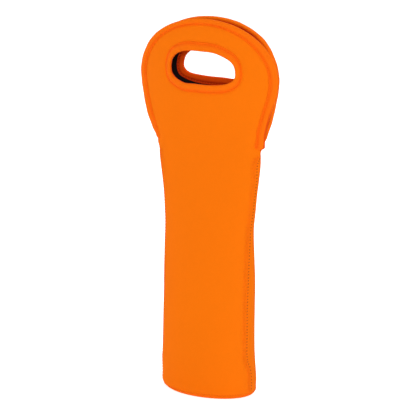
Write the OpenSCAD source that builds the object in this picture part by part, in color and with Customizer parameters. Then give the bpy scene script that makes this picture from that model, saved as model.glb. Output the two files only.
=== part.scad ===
// A carrier for one bottle, cut and sewn from foam-backed knit. Front and back panels are seamed together
// up to a notch on each side. Above it they part into two round handles, each with a hand hole.
// The carrier stands empty on its oval base. +X is to the right, the front faces -Y, +Z is up, and the
// origin is the middle of the base on the floor. Each handle folds about its neck, the line of the notches.

/* [Sleeve] */
// Height of the notches, where the side seams end and the handles part
seam_h = 256; // [240:1:286]
// Width of the sleeve at its foot
foot_w = 99.4; // [90:0.2:110]
// Depth of the sleeve at its foot, front to back
foot_d = 64; // [50:1:76]
// Width of the sleeve at its waist
waist_w = 98; // [88:0.2:108]
// Width of the sleeve at its shoulder, below the notches
shoulder_w = 100.6; // [90:0.2:112]
// Depth of the sleeve at its waist, front to back
waist_d = 43; // [36:1:60]
// Width between the notches
neck_w = 112; // [104:1:122]
// Depth between front and back at the notches
neck_d = 26; // [22:1:40]
// Radius of the rounded edge of the foot
foot_r = 7; // [5.5:0.5:10]

/* [Handles] */
// Height of a handle above the notches
handle_h = 129.4; // [120:0.2:145]
// Width of a handle
handle_w = 147.2; // [132:0.2:162]
// Height above the notches at which a handle is widest
widest_h = 70; // [60:1:80]
// Depth over the two bowed handles at their widest
handle_d = 40.2; // [34:0.2:50]
// Clear gap between the bound rims of the two handles, along their sides
rim_gap = 1.8; // [1.5:0.1:5]
// How far each rim leans out at the top of the handles
top_lean = 3.5; // [0:0.1:6]
// Length above the notches over which a panel turns from rounded to bowed
turn_h = 34; // [26:1:44]

/* [Hand holes] */
// Clear width of a hand hole
hole_w = 71; // [60:1:80]
// Height of the cloth over a hand hole, up to the edge of the handle
grip_h = 30.9; // [27:0.1:36]
// Clear height of a hand hole above its widest line
hole_rise = 19.5; // [14:0.5:22]
// Clear height of a hand hole below its widest line
hole_drop = 14.5; // [11:0.5:20]

/* [Cloth] */
// Thickness of the foam with its outer knit
foam_t = 2.7; // [2:0.1:3.2]
// Thickness of the inner knit
lining_t = 0.8; // [0.4:0.1:1]
// Thickness of the binding tape
tape_t = 0.8; // [0.4:0.1:1]
// Width of the rim tape that shows on one face
rim_tape_w = 7.4; // [5:0.2:9]
// Width of the hand hole tape that shows on one face
grip_tape_w = 6.4; // [5:0.2:8]

/* [Seams] */
// Width of the zigzag over a side seam
zigzag_w = 6.5; // [4:0.5:8]
// Height of the base seam above the floor
base_seam_h = 4.5; // [3.5:0.1:5]
// Width of the stitching over the base seam
base_seam_w = 3; // [2:0.2:4]
// Thickness of the thread where it lies on the cloth
thread_t = 0.4; // [0.2:0.1:0.6]
// Width of a row of stitches along a tape
stitch_w = 1; // [0.6:0.1:1.6]

/* [Hidden] */

// Colours of the knit outside, the knit inside, the tape and the thread
knit_colour = [0.98, 0.46, 0.04];
lining_colour = [0.06, 0.05, 0.06];
tape_colour = [1, 0.42, 0.03];
thread_colour = [0.85, 0.36, 0.05];

// Thickness of a whole panel
panel_t = foam_t + lining_t;
// Clearance between a handle and the sleeve along the fold
fold_gap = 0.4;
// Clearance under a row of thread, so that it lies on the cloth and not in it
thread_lift = 0.25;
// Height at which the handles begin, and the two heights that shape them
neck_z = seam_h + fold_gap;
widest_z = seam_h + widest_h;
top_z = seam_h + handle_h;
hole_z = top_z - grip_h - hole_rise;

// Heights of the stations that shape the sleeve, as shares of the height of the notches
hold_share = 0.12;
waist_w_share = 0.52;
waist_d_share = 0.66;
shoulder_share = 0.8;
width_stations = [[0, foot_w / 2], [hold_share * seam_h, foot_w / 2], [waist_w_share * seam_h, waist_w / 2],
    [shoulder_share * seam_h, shoulder_w / 2], [seam_h, neck_w / 2]];
depth_stations = [[0, foot_d / 2], [hold_share * seam_h, foot_d / 2], [waist_d_share * seam_h, waist_d / 2],
    [seam_h, neck_d / 2], [widest_z, handle_d / 2]];

// Angle of the side seams round the sleeve, from the middle of the front: along most of their height,
// at the foot, and at the notches
seam_angle = 66.5;
foot_seam_angle = 86;
notch_angle = 90;
// Heights between which a side seam swings to its foot and to its notch, as shares of seam_h
foot_swing_shares = [0.05, 0.16];
notch_swing_shares = [0.93, 1];

// How the flare of a handle leaves the notch and meets its widest line, as shares of its rise and spread
flare_out_share = 0.34;
flare_up_share = 0.26;
flare_in_share = 0.28;
// Half the angle that a panel spans as an arc across a handle
bow_angle = 36;
// Share of a panel's thickness that lies front to back at its leaning rim
rim_lean_share = 0.85;
// Distance of a rim from the middle plane: beside a notch, and up the side of a handle
notch_rim_y = tape_t + rim_gap / 2;
handle_rim_y = rim_gap / 2 + (panel_t + tape_t) * rim_lean_share;
// Roundness of the hand hole's outline, where 2 is an ellipse
hole_power = 2.5;
// Shares of a tape's width that show in front view, beside a notch and round the handle
tape_view_shares = [0.6, 0.87];
// Place of a row of stitches on a tape, as a share of its width from its inner edge
stitch_place_share = 0.16;

// Heights of the rows of a sleeve panel, as shares of its straight part
level_shares = [0.03, 0.065, 0.1, 0.16, 0.28, 0.4, 0.52, 0.65, 0.78, 0.88, 0.935, 0.96, 0.98, 1];
sleeve_levels = concat([base_seam_h, (base_seam_h + foot_r) / 2, foot_r],
    [for (s = level_shares) foot_r + s * (seam_h - foot_r)]);
front_columns = 12;
back_columns = 18;
// Segments of a handle's outline: up one flare, over the top, and along the neck
flare_steps = 7;
top_steps = 14;
neck_steps = 8;
// Rows of a handle between its two tapes, as shares of the way from the hand hole's tape to the rim's
row_shares = [0.25, 0.5, 0.75];
flare_table_steps = 40;
base_columns = 36;
// Heights of the rings of the base's rounded edge, as shares of the base seam's height
base_ring_shares = [0, 0.12, 0.35, 0.65, 1];
// Places across the thread over a side seam, as shares of half its width
band_shares = [-1, -0.5, 0, 0.5, 1];
// A small share, used for slopes and to stay off the very top of a handle
small_share = 0.001;

function unit(v) = v / norm(v);
function mix(a, b, t) = a + (b - a) * t;
function ease(t) = let (c = min(max(t, 0), 1)) c * c * (3 - 2 * c);

// A smooth curve through stations of [height, value], level at both ends
function station_slope(s, i) =
    i == 0 || i == len(s) - 1 ? 0 : (s[i + 1][1] - s[i - 1][1]) / (s[i + 1][0] - s[i - 1][0]);
function smooth(s, z, i = 0) =
    z <= s[0][0] ? s[0][1] :
    z >= s[len(s) - 1][0] ? s[len(s) - 1][1] :
    z > s[i + 1][0] ? smooth(s, z, i + 1) :
    let (h = s[i + 1][0] - s[i][0], t = (z - s[i][0]) / h, t2 = t * t, t3 = t2 * t)
    (2 * t3 - 3 * t2 + 1) * s[i][1] + (t3 - 2 * t2 + t) * h * station_slope(s, i)
        + (3 * t2 - 2 * t3) * s[i + 1][1] + (t3 - t2) * h * station_slope(s, i + 1);

// The sleeve: an ellipse at each height, drawn in where the foot is rounded
function foot_inset(z) = z >= foot_r ? 0 : foot_r - sqrt(foot_r * foot_r - (foot_r - z) * (foot_r - z));
function sleeve_point(angle, z, below = 0) =
    let (inset = foot_inset(z) + below)
    [(smooth(width_stations, z) - inset) * sin(angle), -(smooth(depth_stations, z) - inset) * cos(angle), z];
function side_angle(z) =
    let (low = ease(1 - (z / seam_h - foot_swing_shares[0]) / (foot_swing_shares[1] - foot_swing_shares[0])),
        high = ease((z / seam_h - notch_swing_shares[0]) / (notch_swing_shares[1] - notch_swing_shares[0])))
    seam_angle + (foot_seam_angle - seam_angle) * low + (notch_angle - seam_angle) * high;

// A handle's outline in front view: a flare from the notch to the widest line, then half an ellipse
function bezier(p, t) =
    let (u = 1 - t) u * u * u * p[0] + 3 * u * u * t * p[1] + 3 * u * t * t * p[2] + t * t * t * p[3];
flare_corners = let (spread = (handle_w - neck_w) / 2, rise = widest_z - neck_z) [
    [neck_w / 2, neck_z],
    [neck_w / 2 + flare_out_share * spread, neck_z + flare_up_share * rise],
    [handle_w / 2, widest_z - flare_in_share * rise],
    [handle_w / 2, widest_z]];
function flare(t) = bezier(flare_corners, t);
function dome(angle) = [handle_w / 2 * cos(angle), widest_z + (top_z - widest_z) * sin(angle)];
flare_table = [for (i = [0:flare_table_steps]) let (p = flare(i / flare_table_steps)) [p[1], p[0]]];
function rise_share(z) = min(max((z - widest_z) / (top_z - widest_z), 0), 1 - small_share);
function handle_half_w(z) =
    z < widest_z ? lookup(z, flare_table) : handle_w / 2 * sqrt(1 - rise_share(z) * rise_share(z));

// A handle's surface: across, an arc that is half an ellipse at the notches and shallow above them
function turned(z) = ease((z - seam_h) / turn_h);
function arc_half(z) = mix(notch_angle, bow_angle, turned(z));
function rim_y(z) = mix(notch_rim_y, handle_rim_y, turned(z)) + top_lean * rise_share(z) * rise_share(z);
function bow(z) =
    z < widest_z ? smooth(depth_stations, z) - rim_y(z) :
    (handle_d / 2 - rim_y(z)) * (1 - rise_share(z) * rise_share(z));
function arc(k, z) =
    let (m = k * sin(arc_half(z)), c = cos(arc_half(z))) (sqrt(max(1 - m * m, 0)) - c) / (1 - c);
function handle_y(k, z) = -(rim_y(z) + bow(z) * arc(k, z));
function across(x, z) = min(max(x / handle_half_w(z), -1), 1);

// The direction out of a handle's surface: level beside the notches, and square to the surface above them
function handle_out(k, z) =
    let (m = sin(arc_half(z)), c = cos(arc_half(z)), r = sqrt(max(1 - k * k * m * m, 0)),
        h = small_share * handle_h, lo = max(z - h, neck_z), hi = min(z + h, top_z - h),
        slope_w = (handle_half_w(hi) - handle_half_w(lo)) / (hi - lo),
        slope_y = (handle_y(k, hi) - handle_y(k, lo)) / (hi - lo),
        a = handle_half_w(z) * r, b = bow(z) * k * m * m / (1 - c),
        square = unit([b, -a, a * slope_y - b * k * slope_w]), level = [k * m, -r, 0])
    unit(mix(unit(level), square, turned(z)));
function handle_point(p, below = 0) =
    let (z = min(p[1], top_z - small_share * handle_h), k = across(p[0], z))
    [p[0], handle_y(k, z), p[1]] - below * handle_out(k, z);

// The columns of a handle's grid. Each runs from the hand hole to the outline, which goes up the right
// flare, over the top, down the left flare, and back along the neck
outline = concat(
    [for (i = [0:flare_steps - 1]) flare(i / flare_steps)],
    [for (i = [0:top_steps - 1]) dome(180 * i / top_steps)],
    [for (i = [0:flare_steps - 1]) let (p = flare(1 - i / flare_steps)) [-p[0], p[1]]],
    [for (i = [0:neck_steps - 1]) [neck_w / 2 * sin(mix(-90, 90, i / neck_steps)), neck_z]]);
columns = len(outline);
rim_last = 2 * flare_steps + top_steps;

function hole_edge(direction, grow) =
    let (a = hole_w / 2 + grow, b = (direction[1] > 0 ? hole_rise : hole_drop) + grow,
        sum = pow(abs(direction[0]) / a, hole_power) + pow(abs(direction[1]) / b, hole_power))
    [0, hole_z] + pow(sum, -1 / hole_power) * direction;
function rim_inward(i) =
    let (a = outline[max(i - 1, 0)], b = outline[min(i + 1, rim_last)], t = unit(b - a)) [-t[1], t[0]];
function rim_tape_point(i) =
    let (p = outline[i], w = rim_tape_w * mix(tape_view_shares[0], tape_view_shares[1], turned(p[1])))
    i <= rim_last ? p + w * rim_inward(i) : p + rim_tape_w * unit([0, hole_z] - p);
function grid_column(i) =
    let (ray = unit(outline[i] - [0, hole_z]), edge = hole_edge(ray, tape_t),
        tape = hole_edge(ray, tape_t + grip_tape_w * tape_view_shares[1]), last = rim_tape_point(i))
    concat([edge, tape], [for (s = row_shares) mix(tape, last, s)], [last, outline[i]]);
grid = [for (i = [0:columns - 1]) grid_column(i)];
grid_rows = len(grid[0]);

// The two triangles of a quad of the points p, cut along its shorter diagonal, so that faces that touch match
function halves(p, a, b, c, d) =
    norm(p[a] - p[c]) < norm(p[b] - p[d]) ? [[a, b, c], [a, c, d]] : [[a, b, d], [b, c, d]];

// A closed sheet between two grids of points, rows by columns. A ring's last column meets its first
module sheet(outer, inner, ring = false) {
    rows = len(outer);
    cols = len(outer[0]);
    spans = ring ? cols : cols - 1;
    n = rows * cols;
    function id(side, r, c) = side * n + r * cols + c % cols;
    last = rows - 1;
    edge = cols - 1;
    p = concat([for (row = outer) each row], [for (row = inner) each row]);
    function quad(side, r, c) =
        let (h = halves(p, id(side, r, c), id(side, r + 1, c), id(side, r + 1, c + 1), id(side, r, c + 1)))
        side == 0 ? h : [for (t = h) [t[2], t[1], t[0]]];
    polyhedron(points = p,
        faces = concat(
            [for (s = [0:1], r = [0:rows - 2], c = [0:spans - 1]) each quad(s, r, c)],
            [for (c = [0:spans - 1]) each concat(
                halves(p, id(0, 0, c), id(0, 0, c + 1), id(1, 0, c + 1), id(1, 0, c)),
                halves(p, id(0, last, c + 1), id(0, last, c), id(1, last, c), id(1, last, c + 1)))],
            ring ? [] : [for (r = [0:rows - 2]) each concat(
                halves(p, id(0, r + 1, 0), id(0, r, 0), id(1, r, 0), id(1, r + 1, 0)),
                halves(p, id(0, r, edge), id(0, r + 1, edge), id(1, r + 1, edge), id(1, r, edge)))]),
        convexity = 8);
}

// A closed tube through a list of sections, each a loop of points. Capped at both ends unless it is a ring
module sweep(sections, ring = false) {
    count = len(sections);
    n = len(sections[0]);
    spans = ring ? count : count - 1;
    function id(s, i) = (s % count) * n + i % n;
    p = [for (s = sections) each s];
    polyhedron(points = p,
        faces = concat(
            [for (s = [0:spans - 1], i = [0:n - 1])
                each halves(p, id(s, i), id(s, i + 1), id(s + 1, i + 1), id(s + 1, i))],
            ring ? [] : [[for (i = [n - 1:-1:0]) id(0, i)], [for (i = [0:n - 1]) id(count - 1, i)]]),
        convexity = 8);
}

// One layer of a sleeve panel between two side seams
module sleeve_layer(from_angle, to_angle, steps, above, below) {
    function layer(depth) = [for (z = sleeve_levels)
        let (side = side_angle(z), a = from_angle == 0 ? -side : side, b = to_angle == 0 ? side : 360 - side)
        [for (i = [0:steps]) sleeve_point(mix(a, b, i / steps), z, depth)]];
    sheet(layer(above), layer(below));
}
module front_sleeve(above, below) { sleeve_layer(0, 0, front_columns, above, below); }
module back_sleeve(above, below) { sleeve_layer(1, 1, back_columns, above, below); }

module front_sleeve_shell() {
    color(knit_colour) front_sleeve(0, foam_t);
}
module back_sleeve_shell() {
    color(knit_colour) back_sleeve(0, foam_t);
}
module front_sleeve_lining() {
    color(lining_colour) front_sleeve(foam_t, panel_t);
}
module back_sleeve_lining() {
    color(lining_colour) back_sleeve(foam_t, panel_t);
}

// The base: a flat oval with a rounded edge that turns up to the base seam
function oval(z, below) = [for (i = [0:base_columns - 1]) sleeve_point(-360 * i / base_columns, z, below)];
function flat_oval(z, inset) = [for (p = oval(base_seam_h, inset)) [p[0], p[1], z]];
module base_shell() {
    rings = concat([for (s = base_ring_shares) oval(s * base_seam_h, 0)],
        [flat_oval(base_seam_h, foam_t), flat_oval(foam_t, foam_t)]);
    color(knit_colour) sweep(rings);
}
module base_lining() {
    color(lining_colour) translate([0, 0, foam_t]) linear_extrude(lining_t)
        polygon([for (p = flat_oval(0, foam_t)) [p[0], p[1]]]);
}

// The thread over a side seam, a band that follows the seam up the outside
module side_seam(side) {
    levels = [for (z = sleeve_levels) if (z > base_seam_h + base_seam_w / 2) z];
    function half_angle(z, a) =
        let (w = smooth(width_stations, z), d = smooth(depth_stations, z), turn = 180 / PI)
        zigzag_w / 2 * turn / norm([w * cos(a), d * sin(a)]);
    function band(z) =
        let (a = side_angle(z), h = half_angle(z, a), lift = -thread_lift, crown = -thread_lift - thread_t)
        concat([for (s = band_shares) sleeve_point(a + s * h, z, lift)],
            [for (i = [len(band_shares) - 1:-1:0]) sleeve_point(a + band_shares[i] * h, z, crown)]);
    color(thread_colour) mirror([side < 0 ? 1 : 0, 0, 0]) sweep([for (z = levels) band(z)]);
}
module right_side_seam() { side_seam(1); }
module left_side_seam() { side_seam(-1); }

module base_seam() {
    low = base_seam_h - base_seam_w / 2;
    high = base_seam_h + base_seam_w / 2;
    lift = -thread_lift;
    crown = -thread_lift - thread_t;
    rings = [oval(low, lift), oval(base_seam_h, lift), oval(high, lift),
        oval(high, crown), oval(base_seam_h, crown), oval(low, crown)];
    color(thread_colour) sweep([for (c = [0:base_columns - 1]) [for (r = rings) r[c]]], true);
}

// One layer of a handle, with its hand hole
module handle_layer(above, below) {
    function layer(depth) = [for (r = [grid_rows - 1:-1:0])
        [for (i = [0:columns - 1]) handle_point(grid[i][r], depth)]];
    sheet(layer(above), layer(below), true);
}

// Where a row of stitches lies across a tape, as shares of the way from its tip to the cut edge
function stitch_span(tape_w) = [stitch_place_share, stitch_place_share + stitch_w / tape_w];

// A tape folded round a cut edge: in front view it runs from tip to edge, and lies on both faces. Its
// outer face has a corner at each side of the row of stitches
function tape_section(tip, edge, tape_w) =
    let (pt = handle_point(tip), pe = handle_point(edge), out_t = pt - handle_point(tip, 1),
        out_e = pe - handle_point(edge, 1), over = unit(pe - pt), span = stitch_span(tape_w),
        top_t = pt + tape_t * out_t, top_e = pe + tape_t * out_e)
    [pt, pe, pe - panel_t * out_e, pt - panel_t * out_t, pt - (panel_t + tape_t) * out_t,
        pe - (panel_t + tape_t) * out_e, pe - panel_t * out_e + tape_t * over, pe + tape_t * over,
        top_e, mix(top_t, top_e, span[1]), mix(top_t, top_e, span[0]), top_t];
module rim_binding() {
    sweep([for (i = [0:rim_last]) tape_section(grid[i][grid_rows - 2], grid[i][grid_rows - 1], rim_tape_w)]);
}
module grip_binding() {
    sweep([for (i = [columns - 1:-1:0]) tape_section(grid[i][1], grid[i][0], grip_tape_w)], true);
}

// A row of stitches on the outer face of a tape, near its inner edge
function stitch_section(tip, edge, tape_w) =
    let (pt = handle_point(tip), pe = handle_point(edge), out_t = pt - handle_point(tip, 1),
        out_e = pe - handle_point(edge, 1), low = tape_t + thread_lift, high = low + thread_t,
        span = stitch_span(tape_w))
    [mix(pt + low * out_t, pe + low * out_e, span[0]), mix(pt + low * out_t, pe + low * out_e, span[1]),
        mix(pt + high * out_t, pe + high * out_e, span[1]), mix(pt + high * out_t, pe + high * out_e, span[0])];
module rim_stitching() {
    sweep([for (i = [0:rim_last]) stitch_section(grid[i][grid_rows - 2], grid[i][grid_rows - 1], rim_tape_w)]);
}
module grip_stitching() {
    sweep([for (i = [columns - 1:-1:0]) stitch_section(grid[i][1], grid[i][0], grip_tape_w)], true);
}

module to_back() { mirror([0, 1, 0]) children(); }

module front_handle_shell() { color(knit_colour) handle_layer(0, foam_t); }
module front_handle_lining() { color(lining_colour) handle_layer(foam_t, panel_t); }
module front_rim_binding() { color(tape_colour) rim_binding(); }
module front_grip_binding() { color(tape_colour) grip_binding(); }
module front_rim_stitching() { color(thread_colour) rim_stitching(); }
module front_grip_stitching() { color(thread_colour) grip_stitching(); }
module back_handle_shell() { to_back() front_handle_shell(); }
module back_handle_lining() { to_back() front_handle_lining(); }
module back_rim_binding() { to_back() front_rim_binding(); }
module back_grip_binding() { to_back() front_grip_binding(); }
module back_rim_stitching() { to_back() front_rim_stitching(); }
module back_grip_stitching() { to_back() front_grip_stitching(); }

front_sleeve_shell();
back_sleeve_shell();
front_sleeve_lining();
back_sleeve_lining();
base_shell();
base_lining();
left_side_seam();
right_side_seam();
base_seam();
front_handle_shell();
front_handle_lining();
front_rim_binding();
front_grip_binding();
front_rim_stitching();
front_grip_stitching();
back_handle_shell();
back_handle_lining();
back_rim_binding();
back_grip_binding();
back_rim_stitching();
back_grip_stitching();
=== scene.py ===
"""A knit carrier for one bottle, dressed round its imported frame.

Lengths are in millimetres in the functions that shape the cloth, and become metres when a mesh is made.
The surface follows the frame's formulas with many more points, and its sizes follow the photograph.
"""

import math

import bpy
import numpy as np
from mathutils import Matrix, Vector


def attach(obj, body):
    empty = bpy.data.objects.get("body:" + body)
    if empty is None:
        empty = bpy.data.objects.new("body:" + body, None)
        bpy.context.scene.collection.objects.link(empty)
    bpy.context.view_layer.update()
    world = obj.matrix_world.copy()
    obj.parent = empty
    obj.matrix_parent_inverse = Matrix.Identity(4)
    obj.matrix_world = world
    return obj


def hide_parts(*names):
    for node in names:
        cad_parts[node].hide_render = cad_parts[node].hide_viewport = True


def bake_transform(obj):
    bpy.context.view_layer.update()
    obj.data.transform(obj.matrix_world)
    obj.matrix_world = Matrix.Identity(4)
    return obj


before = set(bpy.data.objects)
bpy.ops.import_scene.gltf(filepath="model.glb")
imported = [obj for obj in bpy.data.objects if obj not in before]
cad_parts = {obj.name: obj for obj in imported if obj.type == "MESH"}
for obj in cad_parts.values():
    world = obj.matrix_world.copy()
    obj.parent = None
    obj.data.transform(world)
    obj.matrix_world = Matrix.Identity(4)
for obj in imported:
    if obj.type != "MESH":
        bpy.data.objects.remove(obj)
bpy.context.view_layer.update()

MM = 0.001

# Sleeve: half widths and half depths at heights up the outside, the height of the notches, the foot's radius,
# the height of the base seam, and how far under the notches the two cut edges begin to part
WIDTHS = ((0, 49.7), (30.7, 49.7), (133.1, 49), (204.8, 50.3), (257.5, 56.4))
DEPTHS = ((0, 33.4), (30.7, 32), (169, 21.5), (257.5, 13), (326, 20.1))
SEAM_H, FOOT_R, BASE_SEAM_H, PARTING_H = 257.5, 8, 4.5, 6
# Handle: half width, height of its widest line and of its top, how far over the notches it turns to bowed, the
# power of its rounded top, and the shares of its spread and rise that draw its curve over each notch
HEAD_HALF_W, WIDEST_Z, TOP_Z, TURN_H, DOME_POWER = 73.6, 326, 383.9, 34, 2.07
FLARE_OUT, FLARE_UP, FLARE_DOWN = 0.32, 0.244, 0.286
BOW_ANGLE = math.radians(36)
# Distance of a panel's cut edge from the middle plane at heights, and how much more it leans out at the top
RIM_YS = ((257.5, 1.7), (268, 3.4), (284, 5.5), (298, 5.3), (320, 4.2))
TOP_LEAN = 5
# How the soft cloth stands at heights: wider or narrower than its cut, off to the right of its middle, the front
# handle to the right and the back one to the left, and the back one's top to the right again
WIDER = ((0, 0.6), (25, 0.5), (50, -0.3), (95, 0.1), (122, 0.5), (148, -0.2), (174, -1), (192, -0.1), (215, 0.5),
         (240, 0), (275, 0), (296, -0.4), (318, 0))
LEAN = ((0, 0.7), (4, 0.15), (9, -0.55), (16, -0.3), (34, -1.05), (72, -1), (112, -0.3), (150, -0.2), (175, 0),
        (196, 0.55), (236, 0.55), (262, 0), (280, -0.3), (300, -0.2), (320, 0))
SWAY = ((285, 0), (318, 0.9), (345, 0.9), (370, 0))
BACK_SWAY = ((352, 0), (372, 1))
# Slow waves of the soft cloth: their lengths and heights
WAVES = ((150, 0.5), (95, 0.35), (60, 0.2))
# Hand hole: height of its widest line, half width, rise, drop, the power of its rounded outline, and its shift to
# the panel's own right
HOLE_Z, HOLE_HALF_W, HOLE_RISE, HOLE_DROP, HOLE_POWER, HOLE_SHIFT = 335, 35.3, 18.7, 14.2, 2.7, -0.2
# Where it was cut unevenly: how far out of its outline, and the direction and spread of that place in degrees
HOLE_BUMPS = ((-2.3, 28, 22), (1, 145, 26), (1.6, -144, 13))
# The back hole beside the front one: its shift to the right and up, and its own uneven places
BACK_HOLE_SHIFT, BACK_HOLE_LIFT, BACK_HOLE_BUMPS = -1, 0.7, ((-1.8, 17, 19), (1.5, -20, 10))
# Cloth: foam with its outer knit, the whole panel, the tape, and the tapes' widths on one face
FOAM_T, PANEL_T, TAPE_T = 2.7, 3.5, 0.8
RIM_TAPE_W, GRIP_TAPE_W = 7.4, 7.2
# Where the side seam runs: degrees round from the middle of the front, at heights
SEAM_TURN = ((0, 75), (13, 75), (23, 75), (31.5, 73), (37, 68.6), (43, 66.8), (70, 66.2), (92, 65), (107, 64.4),
             (120, 64.6), (132, 65.3), (150, 67.3), (165, 69.7), (180, 71), (195, 71), (212, 70.7), (225, 69.5),
             (247, 68), (257.5, 90))
# Heights between which the front's zigzag is drawn up so tight that its holes join in a line
TIGHT_FROM, TIGHT_TO = 29, 43
# Zigzag over the side seams and round the base: width, pitch and the thread's thickness
SIDE_ZIGZAG_W, SIDE_PITCH, SIDE_THREAD = 6.4, 3.2, 0.34
BASE_ZIGZAG_W, BASE_PITCH, BASE_THREAD = 2.6, 2.6, 0.32
# How high a zigzag rises and falls over the cloth, and the oval that the base's zigzag is laid out on
ZIGZAG_RISE, FOOT_OVAL = 0.3, (49.5, 32)
# Stitches of the tapes: distance from the tape's tip, depth, pitch, length, crown and the thread's thickness
STITCH_IN, STITCH_DEPTH, TAPE_PITCH, STITCH_L, STITCH_CROWN, TAPE_THREAD = 1.5, 0.62, 3.0, 2.4, 0.22, 0.42
# The knit's loops as drawn: the width of a wale and the height of a course
WALE, COURSE = 1.6, 1.2
# The ripple that each stitch presses in a tape, and a tape's slow swells: how many on its way, phase and height
RIPPLE, SWELLS = 0.16, ((9, 1, 0.12), (23, 0, 0.1))
# An open tape's ends: the length that is rounded, how thick the last one stays, how far the front's right one is
# folded over and the length of that fold, and the height of the tuck, its place and spread
END_ROUND, END_THICK, END_FOLD, FOLD_L = 2.4, 0.35, 1.8, 12
TUCK, TUCK_AT, TUCK_SPREAD = 0.5, 3.2, 2
# How far the foam is pressed in beside a tape, at a side seam and at the base's, how wide each reaches, and how
# far from a tape and from a seam the cloth's waves begin
TAPE_PRESS, SEAM_PRESS, BASE_PRESS = 0.8, 0.05, 0.2
TAPE_SPREAD, SEAM_SPREAD, BASE_SPREAD = 2.2, 1.8, 1.6
TAPE_CALM, SEAM_CALM = 14, 10

FRONT, BACK = 1, -1
NAMES = {FRONT: "front", BACK: "back"}
# The net of a panel: columns along the neck, up each side and over the top, and the distances from the tapes at
# which it is fine
NECK, FLARE, DOME = 64, 36, 96
COLUMNS = 2 * FLARE + DOME + NECK
RIM_LAST = 2 * FLARE + DOME
FINE_STEPS = (0, 1, 2, 3.5, 5.5)
# The spacing of points along a seam and along a tape, and the step over which a slope is taken
SEAM_STEP, TAPE_STEP, SMALL_STEP = 0.5, 0.75, 0.14


def make_camera():
    """The photograph's view: 24.75 degrees round to the right and 15.45 degrees up, from 2.37 m."""
    azimuth, elevation, distance, pixels = math.radians(24.75), math.radians(15.45), 2.36823, 416
    back = Vector((math.sin(azimuth) * math.cos(elevation), -math.cos(azimuth) * math.cos(elevation),
                   math.sin(elevation)))
    camera = piece("camera", bpy.data.cameras.new("camera"))
    camera.data.sensor_width = 36
    camera.data.lens = camera.data.sensor_width * distance / (pixels * MM)
    camera.data.shift_x, camera.data.shift_y = -1.53 / pixels, 1.27 / pixels
    camera.location = Vector((0, 0, 0.19)) + back * distance
    camera.rotation_mode = "QUATERNION"
    camera.rotation_quaternion = (-back).to_track_quat("-Z", "Y")
    bpy.context.scene.camera = camera


# Small helpers

def mix(a, b, t):
    return a + (b - a) * t


def ease(t):
    c = np.clip(t, 0, 1)
    return c * c * (3 - 2 * c)


def unit(v):
    return v / np.maximum(np.linalg.norm(v, axis=-1, keepdims=True), 1e-9)


def smooth(stations, z):
    """A smooth curve through stations of (height, value), level at both ends."""
    s = np.array(stations, float)
    z = np.clip(z, s[0, 0], s[-1, 0])
    slope = np.concatenate([[0], (s[2:, 1] - s[:-2, 1]) / (s[2:, 0] - s[:-2, 0]), [0]])
    i = np.clip(np.searchsorted(s[:, 0], z, side="right") - 1, 0, len(s) - 2)
    h = s[i + 1, 0] - s[i, 0]
    t = (z - s[i, 0]) / h
    return ((2 * t**3 - 3 * t**2 + 1) * s[i, 1] + (t**3 - 2 * t**2 + t) * h * slope[i]
            + (3 * t**2 - 2 * t**3) * s[i + 1, 1] + (t**3 - t**2) * h * slope[i + 1])


def along(points):
    """The arc length at each point of a polyline."""
    return np.concatenate([[0], np.cumsum(np.linalg.norm(np.diff(points, axis=0), axis=1))])


def bumps(places, turn):
    """The sum of soft bumps, each of (height, direction, spread), at directions in degrees."""
    return sum(height * np.exp(-((turn - at) / spread) ** 2) for height, at, spread in places)


def evenly(points, step, closed=False):
    """The polyline's points at an even spacing near step, and the arc length at each."""
    if closed:
        points = np.vstack([points, points[:1]])
    arc = along(points)
    at = np.linspace(0, arc[-1], max(int(round(arc[-1] / step)), 2) + 1)
    even = np.stack([np.interp(at, arc, points[:, k]) for k in range(points.shape[1])], axis=1)
    return (even[:-1], at[:-1]) if closed else (even, at)


def nearest(points, line):
    """For each point, its distance to the nearest point of line and that point's index."""
    far = np.linalg.norm(points[:, None] - line[None], axis=2)
    index = far.argmin(1)
    return far[np.arange(len(points)), index], index


# The surface of the cloth

def rim_y(z):
    """Distance of a panel's cut edge from the middle plane. The edges part just under the notch."""
    return (smooth(RIM_YS, z) + TOP_LEAN * rise_share(z) ** 2) * ease((z - SEAM_H + PARTING_H) / PARTING_H)


def foot_inset(z):
    d = np.clip(FOOT_R - z, 0, FOOT_R)
    return FOOT_R - np.sqrt(FOOT_R**2 - d**2)


def sleeve_point(angle, z, below=0):
    """A point of the sleeve, below the outer face. Angle 0 is the middle of the front, in radians."""
    wide, deep = smooth(WIDTHS, z) - foot_inset(z) - below, smooth(DEPTHS, z) - foot_inset(z) - below
    part = rim_y(z) * (z > SEAM_H - PARTING_H)
    y = -np.cos(angle) * deep - part * (1 - np.abs(np.cos(angle))) * np.sign(np.cos(angle))
    return np.stack([wide * np.sin(angle), y, z + 0 * angle], axis=-1)


def side_angle(z):
    """Where the side seam runs round the sleeve: it swings back at the foot and at the notch."""
    return np.radians(smooth(SEAM_TURN, z))


def flare(t):
    """The outline's right side in front view, from the notch up to the widest line."""
    neck, t = WIDTHS[-1][1], t[:, None]
    spread, rise = HEAD_HALF_W - neck, WIDEST_Z - SEAM_H
    p = np.array([[neck, SEAM_H], [neck + FLARE_OUT * spread, SEAM_H + FLARE_UP * rise],
                  [HEAD_HALF_W, WIDEST_Z - FLARE_DOWN * rise], [HEAD_HALF_W, WIDEST_Z]])
    u = 1 - t
    return u**3 * p[0] + 3 * u**2 * t * p[1] + 3 * u * t**2 * p[2] + t**3 * p[3]


def dome(angle):
    c, s = np.cos(angle), np.maximum(np.sin(angle), 0)
    return np.stack([HEAD_HALF_W * np.sign(c) * np.abs(c) ** (2 / DOME_POWER),
                     WIDEST_Z + (TOP_Z - WIDEST_Z) * s ** (2 / DOME_POWER)], axis=-1)


FLARE_TABLE = flare(np.linspace(0, 1, 400))


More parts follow.
